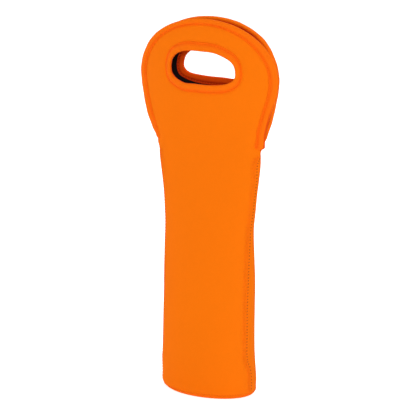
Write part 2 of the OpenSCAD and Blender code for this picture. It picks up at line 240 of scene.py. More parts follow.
def rise_share(z):
    return np.clip((z - WIDEST_Z) / (TOP_Z - WIDEST_Z), 0, 0.999)


def head_half_w(z):
    return np.where(z < WIDEST_Z, np.interp(z, FLARE_TABLE[:, 1], FLARE_TABLE[:, 0]),
                    HEAD_HALF_W * (1 - rise_share(z) ** DOME_POWER) ** (1 / DOME_POWER))


def arc_half(z):
    return mix(math.pi / 2, BOW_ANGLE, ease((z - SEAM_H) / TURN_H))


def bow(z):
    return np.where(z < WIDEST_Z, smooth(DEPTHS, z) - rim_y(z),
                    (DEPTHS[-1][1] - rim_y(z)) * (1 - rise_share(z) ** 2))


def head_y(k, z):
    """Depth of the front handle's outer face at share k of its half width."""
    m, c = k * np.sin(arc_half(z)), np.cos(arc_half(z))
    return -(rim_y(z) + bow(z) * (np.sqrt(np.maximum(1 - m * m, 0)) - c) / (1 - c))


def head_out(k, z):
    """The way out of the handle's outer face: level beside the notches, square to the face above them."""
    m, c = np.sin(arc_half(z)), np.cos(arc_half(z))
    r = np.sqrt(np.maximum(1 - (k * m) ** 2, 0))
    low, high = np.maximum(z - SMALL_STEP, SEAM_H), np.minimum(z + SMALL_STEP, TOP_Z - SMALL_STEP)
    slope_w = (head_half_w(high) - head_half_w(low)) / (high - low)
    slope_y = (head_y(k, high) - head_y(k, low)) / (high - low)
    a, b = head_half_w(z) * r, bow(z) * k * m * m / (1 - c)
    square = unit(np.stack([b, -a, a * slope_y - b * k * slope_w], axis=-1))
    level = unit(np.stack([k * m, -r, 0 * z], axis=-1))
    return unit(mix(level, square, ease((z - SEAM_H) / TURN_H)[..., None]))


def head_frame(flat):
    """Points and outward directions on the front handle's outer face, for points of the front view."""
    z = np.minimum(flat[..., 1], TOP_Z - SMALL_STEP)
    k = np.clip(flat[..., 0] / head_half_w(z), -1, 1)
    return np.stack([flat[..., 0], head_y(k, z), flat[..., 1]], axis=-1), head_out(k, z)


def head_point(flat, below=0):
    point, out = head_frame(flat)
    return point - np.asarray(below)[..., None] * out


def hole_edge(ray):
    """The hand hole's cut edge, under its tape, along a ray from its middle."""
    a = HOLE_HALF_W + TAPE_T
    b = np.where(ray[:, 1] > 0, HOLE_RISE, HOLE_DROP) + TAPE_T
    reach = ((np.abs(ray[:, 0]) / a) ** HOLE_POWER + (np.abs(ray[:, 1]) / b) ** HOLE_POWER) ** (-1 / HOLE_POWER)
    turn = np.degrees(np.arctan2(ray[:, 1], ray[:, 0]))
    return np.array([HOLE_SHIFT, HOLE_Z]) + (reach + bumps(HOLE_BUMPS, turn))[:, None] * ray


def outward(line):
    """Directions square to a closed line of the front view that runs to the left over its top, out of it."""
    t = unit(np.roll(line, -1, axis=0) - np.roll(line, 1, axis=0))
    return np.stack([t[:, 1], -t[:, 0]], axis=1)


def grip_share(ways):
    """Share of the grip tape's width that shows: it is pulled narrower round the two ends of the hole."""
    return 0.66 + np.where(ways[:, 1] > 0, 0.46, 0.38) * ways[:, 1] ** 2 + 0.2 * np.maximum(ways[:, 0], 0) ** 2


def rim_share(line):
    """Share of the rim tape's width that shows in front view: less at the notch and over the top, and more on
    the panel's own right."""
    x, z = line.T
    return mix(0.68, 0.87, ease((z - SEAM_H) / 16)) + 0.2 * ease(x / 55) - 0.13 * ease((z - 350) / 30)


def inward(line):
    """Directions in the front view, square to the outline and into the handle."""
    t = unit(np.gradient(line, axis=0))
    return np.stack([-t[:, 1], t[:, 0]], axis=1)


def rim_line():
    """The handle's outline from the right notch over the top to the left notch."""
    right = flare(np.linspace(0, 1, 300))
    return np.vstack([right[:-1], dome(np.linspace(0, math.pi, 600))[:-1], right[::-1] * [-1, 1]])


def side_line(side):
    """Points up the side seam. Side is 1 on the right and -1 on the left."""
    z = np.linspace(BASE_SEAM_H, SEAM_H, 600)
    return evenly(sleeve_point(side_angle(z), z) * [side, 1, 1], SEAM_STEP)[0]


def base_line():
    angle = np.linspace(0, 2 * math.pi, 900)[:-1]
    return evenly(sleeve_point(angle, np.full_like(angle, BASE_SEAM_H)), SEAM_STEP, closed=True)[0]


def undulation(points):
    """Slow waves of the soft cloth, in mm, the same at each run."""
    rng = np.random.default_rng(11)
    total = np.zeros(len(points))
    for wave, height in WAVES:
        for _ in range(3):
            way = unit(rng.normal(size=3) * [1, 1, 0.7])
            total += height / 3 * np.sin(points @ way * 2 * math.pi / wave + rng.uniform(0, 2 * math.pi))
    return total


def settle(points, side=0):
    """The points as the soft cloth stands, for the front's side 1, the back's side -1, or 0 on both."""
    x, y, z = points.T
    flat = np.stack([side * x - HOLE_SHIFT, z - HOLE_Z + 0.01], axis=1)
    reach = np.linalg.norm(hole_edge(unit(flat)) - [HOLE_SHIFT, HOLE_Z], axis=1)
    near = 1 - ease((np.linalg.norm(flat, axis=1) / reach - 1.2) / 0.6)
    x = x * (1 + smooth(WIDER, z) / WIDTHS[0][1]) + smooth(LEAN, z) + side * smooth(SWAY, z) * (1 - near)
    if side == BACK:
        way = unit(flat)
        swell = bumps(BACK_HOLE_BUMPS, np.degrees(np.arctan2(way[:, 1], way[:, 0])))
        x = x + smooth(BACK_SWAY, z) + near * (BACK_HOLE_SHIFT - swell * way[:, 0])
        z = z + near * (BACK_HOLE_LIFT + swell * way[:, 1])
    return np.stack([x, y, z], axis=1)


# Meshes

def piece(name, data):
    """A linked object of the data, at the origin."""
    made = bpy.data.objects.new(name, data)
    bpy.context.scene.collection.objects.link(made)
    return made


def cloth(name, points, faces, material, corners, values=None):
    """A smooth piece, from points in mm. Corners holds each point's place on the cloth in metres, and values
    its attributes."""
    mesh = bpy.data.meshes.new(name)
    a, b, c = (points[[f[i] for f in faces]] for i in (0, 1, 2))
    if np.einsum("ij,ij->i", a, np.cross(b, c)).sum() < 0:
        faces = [tuple(reversed(f)) for f in faces]
    mesh.from_pydata((points * MM).tolist(), [], faces)
    mesh.polygons.foreach_set("use_smooth", [True] * len(mesh.polygons))
    loops = np.zeros(len(mesh.loops), int)
    mesh.loops.foreach_get("vertex_index", loops)
    mesh.uv_layers.new(name="cloth").data.foreach_set("uv", corners[loops].ravel().astype(np.float32))
    for key, value in (values or {}).items():
        mesh.attributes.new(key, "FLOAT", "POINT").data.foreach_set("value", value.astype(np.float32))
    mesh.set_sharp_from_angle(angle=math.radians(60))
    mesh.materials.append(material)
    mesh.update()
    return piece(name, mesh)


def tube(count, n, closed=False):
    """Quads between count rings of n points, and from the last ring to the first one if closed."""
    return [(r * n + i, r * n + (i + 1) % n, (r + 1) % count * n + (i + 1) % n, (r + 1) % count * n + i)
            for r in range(count if closed else count - 1) for i in range(n)]


def caps(count, n):
    """The flat ends of a body of count rings of n points."""
    return [tuple(reversed(range(n))), tuple(range((count - 1) * n, count * n))]


def between(outer, inner, quads):
    """Points and faces of the closed cloth between two layers that share one net of quads."""
    n = len(outer)
    faces = [tuple(q) for q in quads] + [tuple(n + i for i in reversed(q)) for q in quads]
    ways = {(q[i], q[(i + 1) % len(q)]) for q in quads for i in range(len(q))}
    faces += [(b, a, n + a, n + b) for a, b in ways if (b, a) not in ways]
    return np.vstack([outer, inner]), faces


def head_net():
    """The net of a handle in front view, rows from the hand hole to the outline, and which of it is under tape.
    Under the neck's ends the last row but one leaves the rim tape little by little, so that no column is bent."""
    steps = np.arange(FLARE) / FLARE
    neck = WIDTHS[-1][1] * np.sin(mix(-math.pi / 2, math.pi / 2, np.arange(NECK) / NECK))
    edge = np.vstack([flare(steps), dome(math.pi * np.arange(DOME) / DOME), flare(1 - steps) * [-1, 1],
                      np.stack([neck, np.full(NECK, SEAM_H)], axis=1)])
    ray = unit(edge - [HOLE_SHIFT, HOLE_Z])
    hole = hole_edge(ray)
    ways = outward(hole)
    tip = hole + ways * (GRIP_TAPE_W * grip_share(ways))[:, None]
    last = edge - ray * RIM_TAPE_W
    rim = edge[:RIM_LAST + 1]
    last[:RIM_LAST + 1] = rim + inward(rim) * (RIM_TAPE_W * rim_share(rim))[:, None]
    leaving = 12
    for corner, step in ((RIM_LAST, 1), (0, -1)):
        for i in range(1, leaving):
            c = (corner + step * i) % COLUMNS
            last[c] = mix(edge[c] + last[corner] - edge[corner], last[c], ease(i / leaving))
    long = np.linalg.norm(last - tip, axis=1)
    near = [x / long for x in FINE_STEPS]
    shares = near + [mix(near[-1], 1 - near[-1], s) for s in np.linspace(0, 1, 18)[1:-1]] + [
        1 - x for x in reversed(near)]
    rows = [hole, mix(hole, tip, 0.5)] + [mix(tip, last, s[:, None]) for s in shares] + [
        mix(last, edge, 0.5), edge]
    taped = np.zeros((len(rows), COLUMNS), bool)
    taped[:2] = True
    taped[-2:, :RIM_LAST + 1] = True
    return np.array(rows), taped


def panel_net():
    """Everything that the panels share: nets of the handle and the sleeve, and the quads that join them."""
    rows, taped = head_net()
    stretches = ((BASE_SEAM_H, 7, 4), (7, 24, 9), (24, 230, 80), (230, SEAM_H, 14))
    levels = np.unique(np.concatenate([np.linspace(*stretch) for stretch in stretches]))[::-1][1:]
    count = len(rows)
    quads = tube(count, COLUMNS)
    neck = [(count - 1) * COLUMNS + (RIM_LAST + i) % COLUMNS for i in range(NECK + 1)]
    start = count * COLUMNS
    lines = [neck] + [[start + j * (NECK + 1) + i for i in range(NECK + 1)] for j in range(len(levels))]
    quads += [(a[i], a[i + 1], b[i + 1], b[i]) for a, b in zip(lines, lines[1:]) for i in range(NECK)]
    return rows, taped, levels, quads


def along_arc(k, z):
    """Distance round the cloth from the middle of the panel, in mm, for a share k across at height z."""
    t = np.linspace(0, 1, 25)[None]
    kk, zz = k[:, None] * t, z[:, None] + 0 * t
    above = zz >= SEAM_H
    x = np.where(above, kk * head_half_w(np.maximum(zz, SEAM_H)), smooth(WIDTHS, zz) * np.sin(kk))
    y = np.where(above, head_y(np.clip(kk, -1, 1), np.maximum(zz, SEAM_H)), -smooth(DEPTHS, zz) * np.cos(kk))
    return np.sign(k) * np.hypot(np.diff(x, axis=1), np.diff(y, axis=1)).sum(1)


def panel_layer(side, below):
    """Points of one layer of the front or back panel. Below is a depth for each point."""
    rows, _, levels, _ = NET
    flat = rows.reshape(-1, 2)
    head = head_point(flat, below[:len(flat)]) * [side, side, 1]
    return np.vstack([head, sleeve_point(*sleeve_net(side), below[len(flat):])])


def sleeve_net(side):
    """Angles and heights of the sleeve's part of a panel's net."""
    z = np.repeat(NET[2], NECK + 1)
    share = np.tile(np.linspace(-1, 1, NECK + 1), len(NET[2]))
    half = side_angle(z)
    return (half * share, z) if side == FRONT else (math.pi + (math.pi - half) * share, z)


def free_shift(points, quads):
    """How far the net's points move when each is drawn towards the middle of its neighbours near the notches,
    and the net's edges are held."""
    reach, rounds = 22, 30
    ways = np.stack([quads, np.roll(quads, -1, axis=1)], axis=-1).reshape(-1, 2)
    edges, used = np.unique(np.sort(ways, axis=1), axis=0, return_counts=True)
    count = np.bincount(edges.ravel(), minlength=len(points))[:, None]
    free = 0.5 * np.clip(1 - np.abs(points[:, 2] - SEAM_H) / reach, 0, 1)[:, None]
    free[edges[used == 1]] = 0
    now = points
    for _ in range(rounds):
        total = np.zeros_like(now)
        np.add.at(total, edges[:, 0], now[edges[:, 1]])
        np.add.at(total, edges[:, 1], now[edges[:, 0]])
        now = now + free * (total / count - now)
    return now - points


def panel(side, material, lining_material):
    """The front or back panel from base seam to rim, as the foam with its knit and the lining bonded to it."""
    rows, taped, _, quads = NET
    name = NAMES[side]
    flat = rows.reshape(-1, 2)
    angle, z = sleeve_net(side)
    plain = panel_layer(side, np.zeros(len(flat) + len(z)))
    height = plain[:, 2]
    on_head = height > SEAM_H - 3

    # The foam is pressed in beside the tapes and along the seams, and its slow waves die out there
    tips = np.vstack([rows[2].reshape(-1, 2), rows[-3][:RIM_LAST + 1]])
    tip_far, _ = nearest(plain, head_point(tips) * [side, side, 1])
    under = np.concatenate([taped.ravel(), np.zeros(len(z), bool)])
    left_notch = ease((SEAM_H + TAPE_CALM - height) / TAPE_CALM) * (side * plain[:, 0] < 0) * on_head
    press = TAPE_PRESS * np.where(under, 1, np.exp(-tip_far / TAPE_SPREAD)) * (1 - 0.75 * left_notch)
    right, right_at = nearest(plain, side_line(1))
    left, left_at = nearest(plain, side_line(-1))
    foot, foot_at = nearest(plain, base_line())
    seam, seam_at = np.minimum(right, left), np.where(right < left, right_at, left_at)
    press += SEAM_PRESS * np.exp(-(seam / SEAM_SPREAD) ** 2) * ~on_head
    press += BASE_PRESS * np.exp(-(foot / BASE_SPREAD) ** 2)
    waves = undulation(plain) * ease(tip_far / TAPE_CALM) * ease(seam / SEAM_CALM) * ease(foot / SEAM_CALM) * ~under
    shift = free_shift(plain, quads)

    # What the cloth's material reads: each point's place on the cloth, and its place beside the nearer seam
    k = np.concatenate([np.clip(flat[:, 0] / head_half_w(np.minimum(flat[:, 1], TOP_Z - SMALL_STEP)), -1, 1),
                        angle if side == FRONT else angle - math.pi])
    zz = np.concatenate([flat[:, 1], z])
    corners = np.tile(np.stack([along_arc(k, zz), zz], axis=1) * MM, (2, 1))
    at_base = foot < seam
    tight = ease((height - TIGHT_FROM) / 3) * ease((TIGHT_TO - height) / 4) * (side == FRONT)
    # The needle holes' relief and painted shade: full in the back's rows, none in the front's, a quarter at the base
    values = {"seam_across": np.where(at_base, foot, seam) * MM,
              "seam_along": np.where(at_base, foot_at, seam_at) * SEAM_STEP * MM,
              "tight": tight, "base_row": at_base.astype(float),
              "hole_depth": np.where(at_base, 0.25, 0 if side == FRONT else 1)}
    values = {key: np.tile(value, 2) for key, value in values.items()}

    outer, middle, inner = (settle(panel_layer(side, depth - waves + share * press) + shift, side)
                            for depth, share in ((0, 1), (FOAM_T, -0.3), (PANEL_T, -0.7)))
    shell = cloth(f"{name}_panel", *between(outer, middle, quads), material, corners, values)
    lining = cloth(f"{name}_lining", *between(middle, inner, quads), lining_material, corners)
    return shell, lining


def ringed(name, rings, material):
    """A closed body through rings of points, with flat ends."""
    count, n = len(rings), len(rings[0])
    points = settle(np.vstack(rings))
    values = {key: np.zeros(len(points)) for key in ("seam_along", "base_row", "hole_depth", "tight")}
    values["seam_across"] = np.full(len(points), 1.0)
    return cloth(name, points, tube(count, n) + caps(count, n), material, points[:, :2] * MM, values)


def base(material, lining_material):
    """The oval base with its rounded edge, and its lining."""
    angle = np.linspace(0, 2 * math.pi, 145)[:-1]

    def oval(z, inset=0, share=1.0, at=None):
        ring = sleeve_point(angle, np.full_like(angle, z), inset) * [share, share, 1]
        ring[:, 2] = z if at is None else at
        return ring

    edge = [oval(BASE_SEAM_H * s, BASE_PRESS * ease((s - 0.6) / 0.4)) for s in np.linspace(0, 1, 9)]
    outer = [oval(0, share=s) for s in (0.2, 0.5, 0.8, 0.93)] + edge
    inner = [oval(BASE_SEAM_H, FOAM_T, s, at) for s, at in
             ((1, BASE_SEAM_H), (1, FOAM_T + 0.6), (0.97, FOAM_T), (0.6, FOAM_T), (0.2, FOAM_T))]
    shell = ringed("base_panel", outer + inner, material)
    inset = FOAM_T + 0.05
    low = [oval(BASE_SEAM_H, inset, s, FOAM_T + 0.02) for s in (0.2, 0.6, 1)]
    high = [oval(BASE_SEAM_H, inset, s, PANEL_T) for s in (0.99, 0.6, 0.2)]
    return shell, ringed("base_lining_cloth", low + high, lining_material)


# Tapes

def tape_profile(width):
    """Across a tape, from its tip on the outer face round the cut edge to its tip on the inner face: the
    distance from the cut edge, the depth below the outer face, the reach past the edge, and the share of
    the ripple that the stitches press in. The second list is the side that lies on the foam, out of sight."""
    tip, stitch = width, width - STITCH_IN
    leg = [(tip, STITCH_DEPTH, 0), (tip - 0.15, 0.2, 0), (tip - 0.55, 0.02, 0), (stitch + 0.4, 0.12, 0.5),
           (stitch, 0.5, 1), (stitch - 0.45, 0.25, 0.6), (stitch - 1.1, -0.15, 0.3), (stitch - 1.9, -0.38, 0.1),
           (width * 0.42, -0.5, 0), (width * 0.2, -0.55, 0), (0.4, -0.5, 0)]
    turn = np.linspace(math.pi / 2, -math.pi / 2, 11)
    wrap = [(0, PANEL_T / 2 - (PANEL_T / 2 + 0.45) * math.sin(a), 0.95 * math.cos(a), 0) for a in turn]
    outer = [(s, d, 0, r) for s, d, r in leg]
    inner = [(s, PANEL_T - d, 0, r) for s, d, r in reversed(leg)]
    hidden = [(tip - 0.4, PANEL_T - 0.9, 0, 0), (0.5, PANEL_T - 0.3, 0, 0), (0.5, 0.3, 0, 0),
              (tip - 0.4, 0.9, 0, 0)]
    return np.array(outer + wrap + inner), np.array(hidden)


def tape(name, line, ways, shares, width, closed, side, material):
    """A tape folded round the cut edge that line draws in front view, and where its stitches lie, as rows of
    points and the ways out of the cloth. Ways point from the edge into the cloth."""
    shown, hidden = tape_profile(width)
    from_edge, depth, reach, pull = np.vstack([shown, hidden]).T
    outer_leg, sides = depth < PANEL_T / 2, np.array([side, side, 1])
    n, m = len(line), len(depth)
    arc = along(line)
    total = arc[-1] + (arc[1] if closed else 0)

    # An open tape's ends are rounded and tucked under, and the front's right end is folded over
    end = np.full(n, 99.0) if closed else np.minimum(arc, total - arc)
    rounding = np.sqrt(np.clip(1 - (1 - np.clip(end / END_ROUND, 0.02, 1)) ** 2, 0, 1))
    if not closed:
        rounding = rounding * mix(END_THICK, 1, ease((total - arc) / FOLD_L))
    fold_end = END_FOLD * (1 - ease((arc - FOLD_L / 2) / FOLD_L)) * (side == FRONT and not closed)
    tuck = TUCK * np.exp(-((end - TUCK_AT) / TUCK_SPREAD) ** 2)

    # Each stitch presses a ripple, and the tape swells and thins slowly on its way
    round_trip = 2 * math.pi * arc / total
    ripple = RIPPLE * (0.5 + 0.5 * np.cos(round_trip * round(total / TAPE_PITCH)))
    swell = tuck + sum(height * np.sin(round_trip * count + phase) for count, phase, height in SWELLS)
    proud = np.abs(depth - PANEL_T / 2) > PANEL_T / 2 - 0.01
    below = mix(np.where(outer_leg, 0.9, PANEL_T - 0.9), depth, rounding[:, None])
    below = below + np.where(outer_leg, -1, 1) * (proud * swell[:, None] - ripple[:, None] * pull)
    s = width / 2 + (from_edge - width / 2) * mix(0.55, 1, rounding)[:, None]
    over = unit(head_point(line) - head_point(line + ways * (width * shares)[:, None]))
    push = reach * (rounding * (1 + tuck))[:, None] + fold_end[:, None]
    points = head_point(line[:, None] + ways[:, None] * (s * shares[:, None])[..., None], below)
    points = points + over[:, None] * push[..., None]

    faces = tube(n, m, True) if closed else tube(n, m) + caps(n, m)
    step = along(points[n // 2][:len(shown)])
    from_tip = np.concatenate([np.minimum(step, step[-1] - step), np.full(len(hidden), 3.0)])

    # Shares of painted shade: on the inner leg, between the handles, and on the cut edge over the right notch
    if closed:
        # A grip tape's inner half is painted redder: painted shade with light bounced off the orange cloth
        inside, deep = np.tile(ease((depth / PANEL_T - 0.3) / 0.4), (n, 1)), np.zeros((n, m))
    else:
        # A rim tape's inner leg past the wrap is painted redder: painted shade with light bounced between the handles
        inside = np.tile(ease((from_edge - 0.5) / 2.5) * ~outer_leg, (n, 1))
        # and darker red farther from the wrap and along the cut edge over the right notch: painted shade (deep)
        deep = np.maximum(ease((from_edge - 1.5) / 2) * ~outer_leg,
                          (from_edge < 0.5) * (0.62 * ease((60 - arc) / 34))[:, None])
    corners = np.stack([np.repeat(arc, m), np.tile(from_tip, n)], axis=1) * MM
    values = {"from_tip": np.tile(from_tip * MM, n), "inside": inside.ravel(), "deep": deep.ravel()}
    points = settle(points.reshape(-1, 3) * sides, side)
    made = cloth(name, points, faces, material, corners, values)

    place, out = head_frame(line + ways * ((width - STITCH_IN) * shares)[:, None])
    keep = slice(None) if closed else slice(4, -4)
    rows = [(settle((place - down * out) * sides, side)[keep], (way * out * sides)[keep])
            for down, way in ((STITCH_DEPTH, 1), (PANEL_T - STITCH_DEPTH, -1))]
    return made, rows


def rim_tape(side, material):
    line, _ = evenly(rim_line(), TAPE_STEP)
    return tape(f"{NAMES[side]}_rim_tape", line, inward(line), rim_share(line), RIM_TAPE_W, False, side, material)


def grip_tape(side, material):
    angle = np.linspace(0, 2 * math.pi, 1600)[:-1]
    ray = np.stack([np.cos(angle), np.sin(angle)], axis=1)
    line, _ = evenly(hole_edge(ray), TAPE_STEP, closed=True)
    ways = outward(line)
    return tape(f"{NAMES[side]}_grip_tape", line, ways, grip_share(ways), GRIP_TAPE_W, True, side, material)


# Threads, by Geometry Nodes

def add(tree, kind, inputs=None, out=0, **settings):
    """Adds a node with its settings, and with a value or a link for each named input. Returns an output."""
    node = tree.nodes.new(kind)
    for key, value in settings.items():
        setattr(node, key, value)
    for key, value in (inputs or {}).items():
        if isinstance(value, bpy.types.NodeSocket):
            tree.links.new(value, node.inputs[key])
        else:
            node.inputs[key].default_value = value
    return node.outputs[out] if node.outputs else node


def new_tree(name, sockets):
    """A geometry tree whose inputs are the path's geometry and the named sockets. Returns it and its inputs."""
    tree = bpy.data.node_groups.new(name, "GeometryNodeTree")
    tree.interface.new_socket("Geometry", in_out="OUTPUT", socket_type="NodeSocketGeometry")
    for label, kind in (("Geometry", "Geometry"), *sockets):
        tree.interface.new_socket(label, in_out="INPUT", socket_type=f"NodeSocket{kind}")
    start = tree.nodes.new("NodeGroupInput")
    return tree, {socket.name: socket for socket in start.outputs if socket.name}


def round_thread(tree, path, thickness):
    """A round thread along a curve, which carries how far along and how far round it each point lies."""
    radius = add(tree, "ShaderNodeMath", {0: thickness, 1: 0.5}, operation="MULTIPLY")
    ring = add(tree, "GeometryNodeCurvePrimitiveCircle", {"Resolution": 6, "Radius": radius})
    path, ring = (add(tree, "GeometryNodeStoreNamedAttribute", {
        "Geometry": curve, "Name": name, "Value": add(tree, "GeometryNodeSplineParameter", out=share)},
        data_type="FLOAT", domain="POINT")
        for curve, name, share in ((path, "thread_along", "Length"), (ring, "thread_round", "Factor")))
    return add(tree, "GeometryNodeCurveToMesh", {"Curve": path, "Profile Curve": ring, "Fill Caps": True})


def stitch_tree():
    """One bent stitch at each pitch of the path, lying along it with its crown up."""
    tree, given = new_tree("stitch_row", (("Pitch", "Float"), ("Length", "Float"), ("Crown", "Float"),
                                          ("Thread", "Float"), ("Material", "Material")))
    path = add(tree, "GeometryNodeMeshToCurve", {"Mesh": given["Geometry"]})
    path = add(tree, "GeometryNodeResampleCurve", {"Curve": path, "Length": given["Pitch"]}, mode="LENGTH")
    minus, half, sunk, tall = (
        add(tree, "ShaderNodeMath", {0: given[size], 1: share}, operation="MULTIPLY")
        for size, share in (("Length", -0.5), ("Length", 0.5), ("Crown", -0.8), ("Crown", 2.0)))
    first, top, last = (add(tree, "ShaderNodeCombineXYZ", place)
                        for place in ({"X": minus, "Z": sunk}, {"Z": tall}, {"X": half, "Z": sunk}))
    bend = add(tree, "GeometryNodeCurveQuadraticBezier", {
        "Resolution": 6, "Start": first, "Middle": top, "End": last})
    stitch = round_thread(tree, bend, given["Thread"])
    lie = add(tree, "FunctionNodeAlignRotationToVector", {
        "Vector": add(tree, "GeometryNodeInputTangent")}, axis="X")
    lie = add(tree, "FunctionNodeAlignRotationToVector", {
        "Rotation": lie, "Vector": add(tree, "GeometryNodeInputNamedAttribute", {"Name": "up"},
                                       data_type="FLOAT_VECTOR")}, axis="Z", pivot_axis="X")
    row = add(tree, "GeometryNodeInstanceOnPoints", {"Points": path, "Instance": stitch, "Rotation": lie})
    finish_tree(tree, row, given["Material"])
    return tree


def thread_tree():
    """A round thread along the path."""
    tree, given = new_tree("sewn_thread", (("Thread", "Float"), ("Material", "Material")))
    path = add(tree, "GeometryNodeMeshToCurve", {"Mesh": given["Geometry"]})
    finish_tree(tree, round_thread(tree, path, given["Thread"]), given["Material"])
    return tree


def finish_tree(tree, shape, material):
    """Ends a tree with smooth shading, real geometry and the material."""
    shape = add(tree, "GeometryNodeRealizeInstances", {"Geometry": shape})
    shape = add(tree, "GeometryNodeSetShadeSmooth", {"Geometry": shape})
    shape = add(tree, "GeometryNodeSetMaterial", {"Geometry": shape, "Material": material})
    add(tree, "NodeGroupOutput", {"Geometry": shape})


def sewn(name, tree, rows, values):
    """A plain mesh of what the tree makes along rows of points and up directions, given in mm."""
    path = bpy.data.meshes.new(f"{name}_path")
    points = np.vstack([r[0] for r in rows]) * MM
    edges, start = [], 0
    for r in rows:
        edges += [(start + i, start + i + 1) for i in range(len(r[0]) - 1)]
        start += len(r[0])
    path.from_pydata(points.tolist(), edges, [])
    up = np.vstack([r[1] for r in rows]).astype(np.float32)
    path.attributes.new("up", "FLOAT_VECTOR", "POINT").data.foreach_set("vector", up.ravel())
    holder = piece(f"{name}_path", path)
    modifier = holder.modifiers.new("sewing", "NODES")
    modifier.node_group = tree
    for item in tree.interface.items_tree:
        if item.item_type == "SOCKET" and item.in_out == "INPUT" and item.name in values:
            modifier[item.identifier] = values[item.name]
    graph = bpy.context.evaluated_depsgraph_get()
    mesh = bpy.data.meshes.new_from_object(holder.evaluated_get(graph), depsgraph=graph)
    mesh.name = name
    bpy.data.objects.remove(holder)
    return piece(name, mesh)


def zigzag(points_at, length, pitch):
    """A zigzag thread's path, across the seam and back at each pitch and sunk at its needle holes, and the ways
    out of the cloth. Points_at gives the place for a distance along, a share from -1 to 1 across, and a height
    over the cloth."""
    t = np.linspace(0, 1, 7)[:-1]
    over = ZIGZAG_RISE * np.sin(math.pi * t) ** 0.6 - ZIGZAG_RISE * 0.55
    legs = [np.stack([(i + t) * pitch / 2, (2 * t - 1) * (-1) ** i, over], axis=1)
            for i in range(int(round(length / pitch)) * 2)]
    points = settle(points_at(*np.vstack(legs).T))
    return points, unit(points * [1, 1, 0])


def side_zigzag(side):
    z = np.linspace(BASE_SEAM_H + 2.2, SEAM_H - 7, 900)
    arc = along(sleeve_point(side_angle(z), z))

    def place(at, across, over):
        height = np.interp(at, arc, z)
        angle = side_angle(height)
        wide, deep = smooth(WIDTHS, height), smooth(DEPTHS, height)
        turn = across * SIDE_ZIGZAG_W / 2 / np.hypot(wide * np.cos(angle), deep * np.sin(angle))
        return sleeve_point(angle + turn, height, -over) * [side, 1, 1]

    return zigzag(place, arc[-1], SIDE_PITCH)


def base_zigzag():
    line = base_line()
    line = np.vstack([line, line[:1]])

    def place(at, across, over):
        i = np.clip(at / SEAM_STEP, 0, len(line) - 1)
        x, y = (np.interp(i, np.arange(len(line)), line[:, k]) for k in (0, 1))
        z = BASE_SEAM_H + across * BASE_ZIGZAG_W / 2
        return sleeve_point(np.arctan2(x / FOOT_OVAL[0], -y / FOOT_OVAL[1]), z, 0.1 - over)

    return zigzag(place, (len(line) - 1) * SEAM_STEP, BASE_PITCH)


# Materials

def linear(code):
    """An sRGB hex colour as linear RGBA."""
    parts = [int(code[i:i + 2], 16) / 255 for i in (1, 3, 5)]
    return (*(p / 12.92 if p <= 0.04045 else ((p + 0.055) / 1.055) ** 2.4 for p in parts), 1.0)


# What a mix of colours takes
COLOURS = {"out": 2, "data_type": "RGBA"}


def new_material(name):
    material = bpy.data.materials.new(name)
    material.use_nodes = True
    material.node_tree.nodes.clear()
    return material, material.node_tree


def finished(material, colour, height, strength, depth, values):
    """The material with its relief, from a height, a strength and a depth in mm, its shader and its output."""
    tree = material.node_tree
    normal = add(tree, "ShaderNodeBump", {"Height": height, "Strength": strength, "Distance": depth * MM})
    shader = add(tree, "ShaderNodeBsdfPrincipled", {"Base Color": colour, "Normal": normal, **values}, out="BSDF")
    add(tree, "ShaderNodeOutputMaterial", {"Surface": shader})
    return material


def jersey_height(tree):
    """Height of jersey's V-shaped loops, from the sizes of a wale and a course."""
    place = add(tree, "ShaderNodeUVMap", uv_map="cloth")
    column, row = (add(tree, "ShaderNodeSeparateXYZ", {0: place}, out=axis) for axis in "XY")
    for operation, value in (("DIVIDE", WALE * MM), ("FRACT", 0), ("SUBTRACT", 0.5), ("ABSOLUTE", 0)):
        column = add(tree, "ShaderNodeMath", {0: column, 1: value}, operation=operation)
    row = add(tree, "ShaderNodeMath", {0: row, 1: COURSE * MM}, operation="DIVIDE")
    row = add(tree, "ShaderNodeMath", {0: column, 1: 1.2, 2: row}, operation="MULTIPLY_ADD")
    row = add(tree, "ShaderNodeMath", {0: row, 1: 2 * math.pi}, operation="MULTIPLY")
    row = add(tree, "ShaderNodeMath", {0: row}, operation="SINE")
    row = add(tree, "ShaderNodeMath", {0: row, 1: 0.35, 2: 0.65}, operation="MULTIPLY_ADD")
    leg = add(tree, "ShaderNodeMath", {0: column, 1: 0.25}, operation="SUBTRACT")
    leg = add(tree, "ShaderNodeMath", {0: leg, 1: leg}, operation="MULTIPLY")
    leg = add(tree, "ShaderNodeMath", {0: leg, 1: -16.0, 2: 1.0}, operation="MULTIPLY_ADD")
    return add(tree, "ShaderNodeMath", {0: leg, 1: row}, operation="MULTIPLY")


